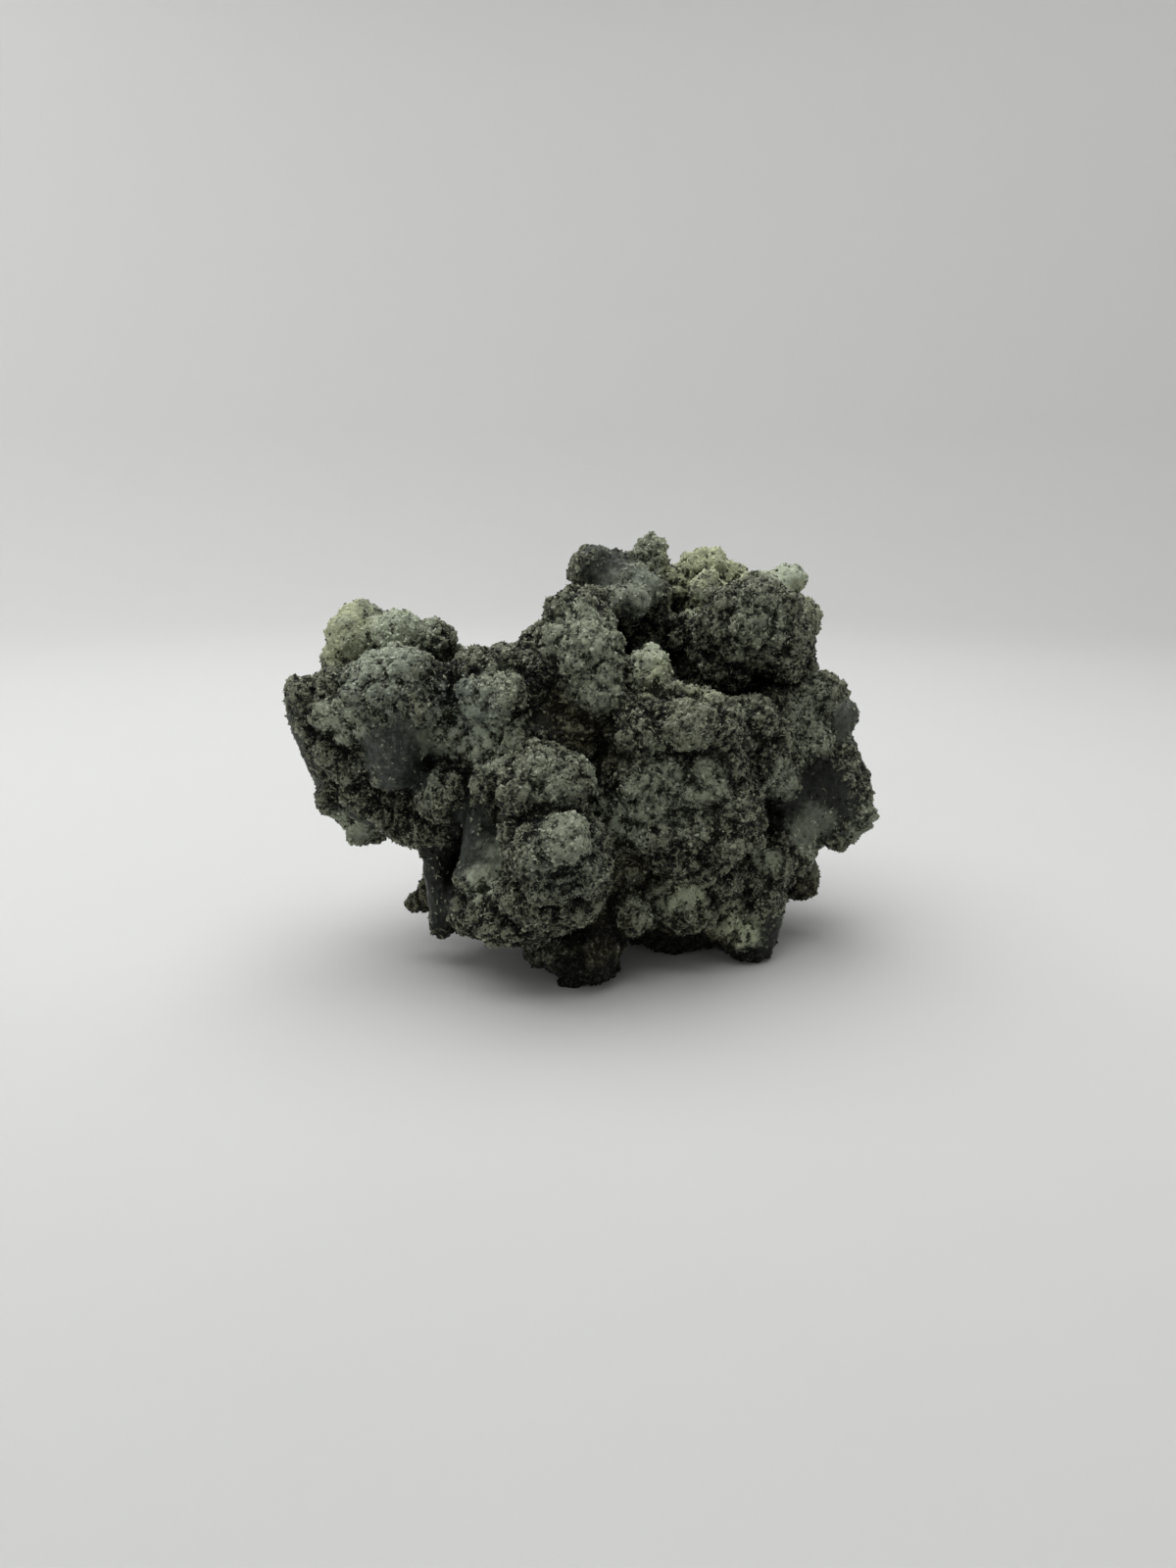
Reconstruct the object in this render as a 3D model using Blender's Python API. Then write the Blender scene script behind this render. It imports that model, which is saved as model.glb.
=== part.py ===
# Rough prehnite: one hand-sized specimen of knobs and short fingers grown into each other.
# Metres, +Z up. The specimen stands on its own feet at z = 0, seen from -Y as in its picture.

import math
import random
from collections import namedtuple

import bmesh
import bpy
from mathutils import Euler, Matrix, Vector

MM = 0.001
NODE = "prehnite"

# How finely the grown-together lumps are fused, and how many triangles the solid keeps.
FUSE_CELL = 0.5 * MM
TRIANGLES = 9600
FOOT_CUT = 0.45 * MM

# Warts are the small round bumps that cover every lump.
WART_SHARE = 0.34
WART_SMALLEST = 1.0
WART_LARGEST = 2.2
WART_SUNK = 0.9
WART_SEED = 71

# A lump is an ellipsoid, and a finger a rod that runs from one round end to the other.
# All their numbers are millimetres, from the middle of the base. Spin and tilt are degrees.
Lump = namedtuple("Lump", "at radii warts spin tilt")
Finger = namedtuple("Finger", "start end start_radius end_radius warts")


def lump(at, radii, warts=0, spin=0.0, tilt=0.0):
    return Lump(Vector(at), Vector(radii), warts, spin, tilt)


def finger(start, end, start_radius, end_radius, warts=0):
    return Finger(Vector(start), Vector(end), start_radius, end_radius, warts)


# The massive middle that every branch grows from, kept behind the open pockets.
CORE = (
    lump((5, 8, 23), (20, 12, 15)),
    lump((6, 18, 33), (16, 10, 13)),
    lump((20, 18, 40), (12, 8, 9)),
    lump((-12, 4, 26), (13, 9, 10)),
    lump((-26, 1, 31), (9, 6, 8)),
    lump((24, 10, 22), (11, 9, 12)),
    lump((-1.4, 4, 38), (5.4, 8, 8.6)),
)

# The wing that reaches out to the left and carries its own pale fingers.
LEFT_WING = (
    finger((-33.6, 4, 39.5), (-31.5, 4, 45.6), 3.3, 2.9, 6),
    lump((-26.2, 4, 42.8), (4.2, 4.2, 4.4), 14),
    lump((-29.2, 5, 40.6), (3.4, 4.2, 4.0), 4),
    finger((-18.6, 4, 36.5), (-20.4, 4, 42.8), 3.0, 3.0, 5),
    lump((-24.6, -7, 37.2), (6.6, 6.2, 6.2), 34),
    lump((-20.6, -7.4, 38.0), (3.8, 4.2, 4.2), 12),
    lump((-32.6, -4, 35.8), (5.4, 5.6, 4.6), 24),
    finger((-36, -2.4, 35.4), (-38.4, -1.8, 35.2), 3.2, 2.2, 5),
    finger((-36.6, -2, 32.6), (-33.2, -2.2, 24.5), 3.0, 3.0, 0),
    finger((-24.2, -8.4, 33), (-24.9, -9.8, 28.6), 4.4, 3.3, 0),
    lump((-31.0, -5.4, 29.6), (4.2, 4.6, 4.8), 16),
    lump((-34.0, 1.0, 22.8), (3.2, 3.6, 3.8), 8),
    lump((-29.4, -3.0, 22.6), (4.8, 3.8, 3.2), 2, tilt=26),
    lump((-30.4, 1.6, 17.6), (3.3, 3.4, 2.6), 2, tilt=20),
    lump((-18.6, -8.0, 24.6), (3.6, 3.6, 3.9), 16),
    lump((-22.4, -4, 19.6), (4.4, 4.6, 3.4), 10),
    lump((-18.6, -3.6, 19.4), (4.0, 4.6, 3.4), 8),
    finger((-25.0, -1.6, 18.6), (-25.6, -2.4, 15.6), 1.6, 0.9, 0),
    lump((-25.6, -1, 26.5), (6, 6, 6), 12),
    lump((-19.4, -3.4, 30.4), (4.6, 4.6, 5.0), 14),
)

# What fills the saddle between the wing and the tall middle.
SADDLE = (
    lump((-12.3, -7.2, 37.8), (5.0, 5.0, 5.2), 26),
    lump((-15.4, -5.6, 39.2), (3.0, 3.6, 3.0), 8),
    lump((-14.8, -6.6, 31.6), (4.2, 4.4, 4.2), 14),
    lump((-9.4, -6.6, 32.8), (4.0, 4.2, 3.4), 10),
    lump((-16.6, 9, 38.6), (3.0, 3.4, 2.8), 5),
    lump((-12.4, 10, 38.6), (3.2, 3.4, 3.0), 7),
    lump((-8.6, 9, 38.4), (3.0, 3.2, 3.1), 5),
    finger((-7.6, -7.4, 33.4), (-5.8, -9.2, 31.8), 2.4, 2.0, 0),
    lump((-12.0, -11.6, 27.4), (2.6, 2.8, 3.0), 8),
    lump((-13, -6, 25), (5, 5, 6), 8),
    lump((-3.0, -5.0, 32.4), (4.6, 4.2, 4.2), 12),
)

# The round masses that bulge towards the viewer, low down on the left.
FRONT_MASS = (
    lump((-5.2, -15.0, 28.2), (5.9, 4.8, 4.6), 32),
    lump((-4.4, -17.0, 20.8), (6.6, 6.0, 5.4), 26),
    lump((0.0, -15.0, 17.6), (3.0, 3.6, 4.4), 10),
    lump((-4.6, -13.4, 13.2), (7.4, 6.4, 4.9), 30),
    lump((-9.4, -12.6, 9.9), (5.8, 5.2, 4.6), 22),
    finger((-13.0, -11.4, 24), (-13.8, -11.8, 17.4), 2.5, 2.7, 0),
    lump((-13.6, -11.6, 15.6), (3.2, 3.0, 2.6), 8),
    lump((-14.6, -9.4, 9.6), (3.6, 4.2, 4.0), 12),
    finger((-20.4, -5.0, 18.5), (-18.6, -5.6, 7.2), 1.7, 2.1, 0),
    finger((-20.6, -1.0, 11.0), (-23.2, 0.6, 6.8), 2.0, 2.3, 5),
    lump((-16.5, 0, 11.5), (4.6, 5.0, 5.0), 10),
    lump((-6, -6, 18), (8, 8, 11), 0),
)

# The tall lobe in the middle and the broad face right of it.
MIDDLE = (
    lump((-1.3, -3.0, 47.0), (4.0, 4.2, 4.2), 18),
    lump((-0.8, -6.2, 42.4), (5.2, 5.0, 5.4), 30),
    lump((0.6, -6.8, 38.0), (4.3, 4.2, 4.0), 16),
    lump((-4.6, -2.6, 44.4), (2.6, 3.2, 3.4), 8),
    lump((-4.6, -3.4, 38.4), (3.0, 4.0, 5.6), 12),
    lump((8.0, -2.8, 40.2), (3.3, 3.2, 3.0), 10),
    finger((5.2, -5.0, 37.0), (12.0, -6.0, 36.6), 2.3, 2.2, 7),
    finger((12.0, -6.0, 36.6), (18.6, -4.6, 34.8), 2.2, 2.2, 7),
    lump((12.1, -11.6, 34.4), (3.5, 3.5, 3.5), 22),
    lump((17.2, -7.8, 33.0), (3.5, 3.8, 4.6), 18),
    lump((6.4, -8.2, 33.2), (4.4, 4.4, 4.2), 22),
    lump((7.0, -7.6, 26.6), (6.0, 6.0, 5.6), 24),
    lump((13.6, -7.8, 27.0), (5.4, 5.4, 4.6), 20),
    lump((16.8, -6.4, 22.8), (6.4, 6.6, 7.2), 28),
    lump((11.0, -8.2, 20.2), (6.6, 5.8, 5.4), 24),
    lump((13.8, -6.4, 15.6), (6.0, 5.8, 4.2), 18),
    lump((5.0, -5.0, 17.8), (4.2, 5.0, 5.4), 14),
    lump((22.2, -2.2, 31.0), (3.8, 4.4, 6.2), 20),
    lump((2.6, -5.6, 23.6), (3.6, 4.2, 6.4), 16),
    lump((4.6, -5.6, 16.6), (3.6, 4.4, 4.6), 14),
    lump((1.8, -8.0, 19.6), (2.6, 3.6, 4.6), 10),
    lump((8, -3, 28), (9, 6, 8), 0),
    lump((8, -1, 17), (8, 5, 8), 0),
)

# The crown: rods, points and pale knobs around the open pockets.
CROWN = (
    finger((0.4, 7, 52.2), (3.6, 6.8, 52.2), 3.8, 3.4, 8),
    finger((3.4, 6.8, 52.0), (9.2, 6.4, 49.2), 3.4, 2.8, 2),
    finger((1.2, 3.6, 50.4), (6.0, 2.6, 48.6), 2.3, 2.9, 8),
    finger((9.6, 15, 48.0), (9.3, 15, 53.9), 2.6, 1.9, 4),
    lump((16.8, 16, 50.2), (4.2, 4.2, 4.2), 20),
    lump((17.2, 9.4, 48.2), (2.9, 3.2, 2.8), 8),
    lump((12.3, 15, 49.8), (2.6, 2.8, 2.8), 5),
    lump((20.9, 16, 51.2), (2.0, 2.2, 2.0), 4),
    lump((24.0, 11.6, 49.4), (3.4, 3.6, 2.8), 10),
    finger((25.4, 14, 46.8), (27.4, 16, 49.4), 2.8, 2.6, 6),
    lump((22.2, 4.4, 45.2), (6.4, 6.0, 6.2), 36),
    lump((26.2, 5.4, 41.8), (4.2, 4.6, 4.2), 16),
    lump((17.0, 5.0, 42.8), (4.0, 4.2, 4.2), 16),
    lump((29.0, 8.0, 42.6), (2.8, 3.6, 3.8), 10),
    lump((31.4, 14, 45.2), (2.6, 3.0, 3.0), 8),
    lump((27.6, 12, 44.6), (4.2, 4.6, 4.4), 8),
    lump((11.6, 11.4, 43.6), (4.6, 3.4, 2.8), 8),
    lump((17.4, 5.2, 38.0), (4.0, 3.2, 2.8), 12),
    lump((4.6, 9.4, 47.0), (5, 4, 5), 4),
)

# The right flank, with its glassy finger and the fan of fibres under it.
RIGHT_FLANK = (
    lump((32.4, 8, 34.4), (3.6, 4.0, 3.6), 16),
    finger((30.0, 9, 31.8), (36.6, 10, 32.0), 2.9, 2.5, 0),
    lump((27.2, 5.4, 33.0), (4.6, 4.8, 4.6), 18),
    lump((25.8, 0.6, 26.0), (3.6, 4.4, 4.6), 10),
    lump((31.0, 4.6, 28.6), (3.4, 4.0, 3.4), 10),
    lump((35.0, 7.6, 26.2), (3.4, 4.0, 4.2), 12),
    lump((32.4, 6.6, 21.4), (6.2, 5.6, 7.0), 8),
    lump((36.8, 8, 21.0), (4.0, 4.4, 5.0), 16),
    lump((35.6, 7.6, 16.6), (4.0, 4.2, 3.8), 14),
    finger((38.0, 8, 17.4), (40.8, 8, 16.4), 2.1, 1.4, 2),
    lump((26.4, 1.8, 16.0), (3.0, 3.8, 3.6), 12),
    lump((29.0, 2.4, 13.4), (3.0, 3.4, 2.8), 10),
    lump((24.0, -0.4, 12.2), (3.2, 3.6, 2.8), 10),
    finger((28.4, 8, 11.6), (31.2, 9, 6.8), 2.9, 2.3, 6),
    lump((26, 6, 13), (6, 6, 6), 0),
)

# The low lumps, and the dark underside that hangs just over the ground.
UNDERSIDE = (
    lump((11.4, -6.8, 9.2), (4.2, 4.2, 3.9), 18),
    lump((16.2, -6.0, 10.6), (3.8, 4.0, 3.4), 14),
    lump((20.6, -3.0, 11.4), (3.2, 3.6, 3.0), 10),
    lump((12.4, 2.2, 5.6), (9.0, 6.0, 4.4), 10),
    lump((16.8, 0.4, 4.8), (5.4, 4.4, 3.6), 8),
    lump((5.8, -10.2, 9.2), (2.9, 2.9, 2.9), 10),
    lump((12.2, -0.8, 4.3), (9.4, 4.6, 3.4), 8),
    lump((2.0, -4.6, 9.4), (6.0, 6.4, 6.6), 6),
    lump((-6, 2, 12), (9, 8, 7), 4),
)

# Four feet carry it: two at the front, and two that the picture doesn't show.
FEET = (
    lump((-0.4, -10.2, 4.6), (4.8, 4.8, 4.6), 18),
    finger((-5.4, -8.0, 8.0), (-6.6, -9.6, 3.4), 2.1, 2.1, 2),
    finger((22.6, -0.6, 9.2), (22.5, -3.8, 3.9), 5.2, 3.9, 3),
    lump((-10.6, 14.0, 10.4), (5.8, 5.4, 5.4), 26),
    lump((-12.6, 17.4, 5.2), (4.6, 4.4, 5.0), 20),
    lump((12.6, 15.0, 9.6), (6.4, 5.6, 5.6), 26),
    lump((15.6, 19.0, 5.2), (4.9, 4.6, 5.0), 20),
    lump((2.0, 14.0, 10.0), (6.0, 6.0, 5.0), 18),
)

# The back is knobs set around three rounded masses by a rule.
Mass = namedtuple("Mass", "middle radii knobs smallest largest")
BACK = (
    Mass(Vector((5, 12, 26)), Vector((23, 14, 17)), 76, 3.8, 6.0),
    Mass(Vector((12, 17, 36)), Vector((18, 10, 8)), 56, 3.4, 5.0),
    Mass(Vector((-27, 1, 31)), Vector((8.6, 6.6, 8)), 34, 2.6, 3.8),
)
BACK_FROM = 0.1
BACK_SEED = 19

GOLDEN_ANGLE = math.pi * (3 - math.sqrt(5))


def spiral_directions(count, turn=0.0):
    # Evenly spread directions over a ball, from its top to its bottom.
    found = []
    for i in range(count):
        height = 1 - 2 * (i + 0.5) / count
        ring = math.sqrt(1 - height * height)
        angle = i * GOLDEN_ANGLE + turn
        found.append(Vector((ring * math.cos(angle), ring * math.sin(angle), height)))
    return found


def back_lumps():
    # Knobs on the far side of the specimen, where the picture doesn't reach.
    dice = random.Random(BACK_SEED)
    found = []
    for mass in BACK:
        for way in spiral_directions(mass.knobs, turn=0.6):
            if way.y < BACK_FROM:
                continue
            at = mass.middle + Vector(w * r for w, r in zip(way, mass.radii))
            size = dice.uniform(mass.smallest, mass.largest)
            radii = (size * dice.uniform(0.9, 1.2), size * dice.uniform(0.85, 1.1), size)
            found.append(lump(at, radii, warts=round(size * 3.6)))
    return found


def add_ball(bm, matrix, detail):
    bmesh.ops.create_icosphere(bm, subdivisions=detail, radius=1.0, matrix=matrix)


def ellipsoid_matrix(at, radii, spin=0.0, tilt=0.0):
    turn = Euler((0, math.radians(tilt), math.radians(spin))).to_matrix().to_4x4()
    return Matrix.Translation(at) @ turn @ Matrix.Diagonal(radii).to_4x4()


def add_warts(bm, matrix, size, count, dice):
    # Small bumps around one ellipsoid, each sunk by most of its own size.
    for way in spiral_directions(count, turn=dice.uniform(0, math.tau)):
        sway = Vector(dice.uniform(-0.3, 0.3) for _ in range(3))
        spot = matrix @ ((way + sway).normalized() * WART_SUNK)
        radius = size * WART_SHARE * dice.uniform(0.7, 1.25)
        radius = min(WART_LARGEST, max(WART_SMALLEST, radius))
        add_ball(bm, ellipsoid_matrix(spot, Vector((radius,) * 3)), detail=2)


def lump_shells(one, dice):
    bm = bmesh.new()
    matrix = ellipsoid_matrix(one.at, one.radii, one.spin, one.tilt)
    add_ball(bm, matrix, detail=3)
    add_warts(bm, matrix, min(one.radii), one.warts, dice)
    return bm


def finger_shells(one, dice):
    # The skin stretched over two balls is a rod with round ends.
    bm = bmesh.new()
    for at, radius in ((one.start, one.start_radius), (one.end, one.end_radius)):
        add_ball(bm, ellipsoid_matrix(at, Vector((radius,) * 3)), detail=3)
    hull = bmesh.ops.convex_hull(bm, input=bm.verts[:])
    inner = [g for g in hull["geom_interior"] if isinstance(g, bmesh.types.BMVert)]
    bmesh.ops.delete(bm, geom=inner)
    bmesh.ops.recalc_face_normals(bm, faces=bm.faces)
    along = (one.end - one.start) / 2
    size = (one.start_radius + one.end_radius) / 2
    reach = along.length + min(one.start_radius, one.end_radius)
    turn = along.to_track_quat("Z", "Y").to_matrix().to_4x4()
    middle = Matrix.Translation((one.start + one.end) / 2)
    shape = middle @ turn @ Matrix.Diagonal((size, size, reach)).to_4x4()
    add_warts(bm, shape, size, one.warts, dice)
    return bm


def grow(groups):
    # Every lump, finger and wart as loose overlapping shells in one mesh.
    dice = random.Random(WART_SEED)
    everything = bmesh.new()
    for one in (one for group in groups for one in group):
        make = lump_shells if isinstance(one, Lump) else finger_shells
        shells = make(one, dice)
        mesh = bpy.data.meshes.new("shells")
        shells.to_mesh(mesh)
        shells.free()
        everything.from_mesh(mesh)
        bpy.data.meshes.remove(mesh)
    bmesh.ops.scale(everything, vec=(MM, MM, MM), verts=everything.verts)
    mesh = bpy.data.meshes.new(NODE)
    everything.to_mesh(mesh)
    everything.free()
    return mesh


def evaluated_mesh(obj):
    graph = bpy.context.evaluated_depsgraph_get()
    return bpy.data.meshes.new_from_object(obj.evaluated_get(graph))


def fuse(mesh):
    # Grows the loose shells into one skin, then thins it to the triangles it needs.
    shells = bpy.data.objects.new(NODE + "_shells", mesh)
    bpy.context.scene.collection.objects.link(shells)
    remesh = shells.modifiers.new("fuse", "REMESH")
    remesh.mode = "VOXEL"
    remesh.voxel_size = FUSE_CELL
    remesh.adaptivity = 0.0
    ease = shells.modifiers.new("ease", "SMOOTH")
    ease.factor = 0.5
    ease.iterations = 2
    fused = evaluated_mesh(shells)
    shells.modifiers.clear()
    shells.data = fused
    faces = sum(len(face.vertices) - 2 for face in fused.polygons)
    thin = shells.modifiers.new("thin", "DECIMATE")
    thin.ratio = TRIANGLES / faces
    thinned = evaluated_mesh(shells)
    bpy.data.objects.remove(shells)
    return thinned


def islands_of(bm):
    # The separate bodies in a mesh, each as its list of vertices.
    unseen = set(bm.verts)
    found = []
    while unseen:
        edge = [unseen.pop()]
        island = []
        while edge:
            vert = edge.pop()
            island.append(vert)
            others = {link.other_vert(vert) for link in vert.link_edges} & unseen
            unseen -= others
            edge += others
        found.append(island)
    return found


def flatten_feet(bm):
    # Worn flats under the feet, where the specimen rests.
    cut = bmesh.ops.bisect_plane(
        bm,
        geom=bm.verts[:] + bm.edges[:] + bm.faces[:],
        plane_co=(0, 0, FOOT_CUT),
        plane_no=(0, 0, -1),
        clear_outer=True,
    )
    rim = [e for e in cut["geom_cut"] if isinstance(e, bmesh.types.BMEdge)]
    return bmesh.ops.holes_fill(bm, edges=rim)["faces"]


def set_on_origin(bm):
    # The origin is under the middle of the whole specimen, on the surface it stands on.
    low = Vector(min(v.co[k] for v in bm.verts) for k in range(3))
    high = Vector(max(v.co[k] for v in bm.verts) for k in range(3))
    middle = (low + high) / 2
    bmesh.ops.translate(bm, vec=(-middle.x, -middle.y, -low.z), verts=bm.verts)
    print("origin moved, mm:", [round(v / MM, 2) for v in (middle.x, middle.y, low.z)])
    print("size, mm:", [round(side / MM, 1) for side in high - low])


def stone_material():
    material = bpy.data.materials.new("grey_green_prehnite")
    material.use_nodes = True
    shader = material.node_tree.nodes["Principled BSDF"]
    shader.inputs["Base Color"].default_value = (0.17, 0.20, 0.15, 1)
    shader.inputs["Roughness"].default_value = 0.62
    shader.inputs["Metallic"].default_value = 0.0
    return material


def build():
    groups = (
        CORE,
        LEFT_WING,
        SADDLE,
        FRONT_MASS,
        MIDDLE,
        CROWN,
        RIGHT_FLANK,
        UNDERSIDE,
        FEET,
        back_lumps(),
    )
    mesh = fuse(grow(groups))
    bm = bmesh.new()
    bm.from_mesh(mesh)
    for crumb in sorted(islands_of(bm), key=len)[:-1]:
        bmesh.ops.delete(bm, geom=crumb, context="VERTS")
    flats = flatten_feet(bm)
    print("foot flats, mm2:", [round(f.calc_area() / MM**2, 1) for f in flats])
    bmesh.ops.triangulate(bm, faces=bm.faces)
    set_on_origin(bm)
    bm.to_mesh(mesh)
    bm.free()
    mesh.name = NODE
    mesh.materials.clear()
    mesh.materials.append(stone_material())
    stone = bpy.data.objects.new(NODE, mesh)
    bpy.context.scene.collection.objects.link(stone)


for leftover in list(bpy.data.objects):
    bpy.data.objects.remove(leftover)
build()
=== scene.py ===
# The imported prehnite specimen, dressed: crusty skin, crystals, a pale sheet, lamps and camera.
import math
import random

import bmesh
import bpy
from mathutils import Matrix, Vector, noise
from mathutils.bvhtree import BVHTree


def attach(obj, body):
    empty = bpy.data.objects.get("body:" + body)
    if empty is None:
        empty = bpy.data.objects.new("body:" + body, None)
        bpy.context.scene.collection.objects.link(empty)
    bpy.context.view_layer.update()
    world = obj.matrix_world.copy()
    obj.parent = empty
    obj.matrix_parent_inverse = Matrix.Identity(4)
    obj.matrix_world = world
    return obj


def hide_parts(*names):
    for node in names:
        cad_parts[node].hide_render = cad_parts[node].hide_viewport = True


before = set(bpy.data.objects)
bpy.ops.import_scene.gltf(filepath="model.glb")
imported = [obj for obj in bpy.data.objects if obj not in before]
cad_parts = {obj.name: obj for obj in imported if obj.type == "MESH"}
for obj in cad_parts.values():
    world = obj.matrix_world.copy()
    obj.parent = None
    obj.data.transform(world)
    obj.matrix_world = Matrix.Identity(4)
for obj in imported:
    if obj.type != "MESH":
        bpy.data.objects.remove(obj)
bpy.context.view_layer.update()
mm = 0.001

# Spots are given where the picture shows them, in mm.
# The solid's origin lies this far from theirs.
spotShift = Vector((0.70, 4.28, 0.45))

# Where the camera stands, which also tells what the picture can't show.
view = {
    "aim": (-0.70, -4.28, 23.65),   # mm
    "away": 160.0,                  # mm
    "down": math.radians(14.0),
    "focal": 1202 / 1600,           # of the picture's height
}
viewBack = Vector((0, -math.cos(view["down"]), math.sin(view["down"])))
eye = (Vector(view["aim"]) + viewBack * view["away"]) * mm


# Small helpers.

def bake(thing):
    # The object as its modifiers leave it, as a plain mesh.
    graph = bpy.context.evaluated_depsgraph_get()
    return bpy.data.meshes.new_from_object(thing.evaluated_get(graph))


def meshFrom(bm, name):
    # The bmesh as a new mesh, the bmesh itself is done with.
    mesh = bpy.data.meshes.new(name)
    bm.to_mesh(mesh)
    bm.free()
    return mesh


def place(name, data):
    thing = bpy.data.objects.new(name, data)
    bpy.context.scene.collection.objects.link(thing)
    return thing


def nodeIn(tree, kind, inputs=None, **settings):
    # One node with its settings, and with plain values or links on its inputs.
    node = tree.nodes.new(kind)
    for key, value in settings.items():
        setattr(node, key, value)
    for key, value in (inputs or {}).items():
        if isinstance(value, bpy.types.NodeSocket):
            tree.links.new(value, node.inputs[key])
        else:
            node.inputs[key].default_value = value
    return node


def wear(piece, material):
    piece.data.materials.clear()
    piece.data.materials.append(material)
    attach(piece, "root")
    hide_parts("prehnite")


def soften(x, low, high):
    t = min(1.0, max(0.0, (x - low) / (high - low)))
    return t * t * (3 - 2 * t)


# Where the crust changes: centre and reach in mm, strength.

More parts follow.
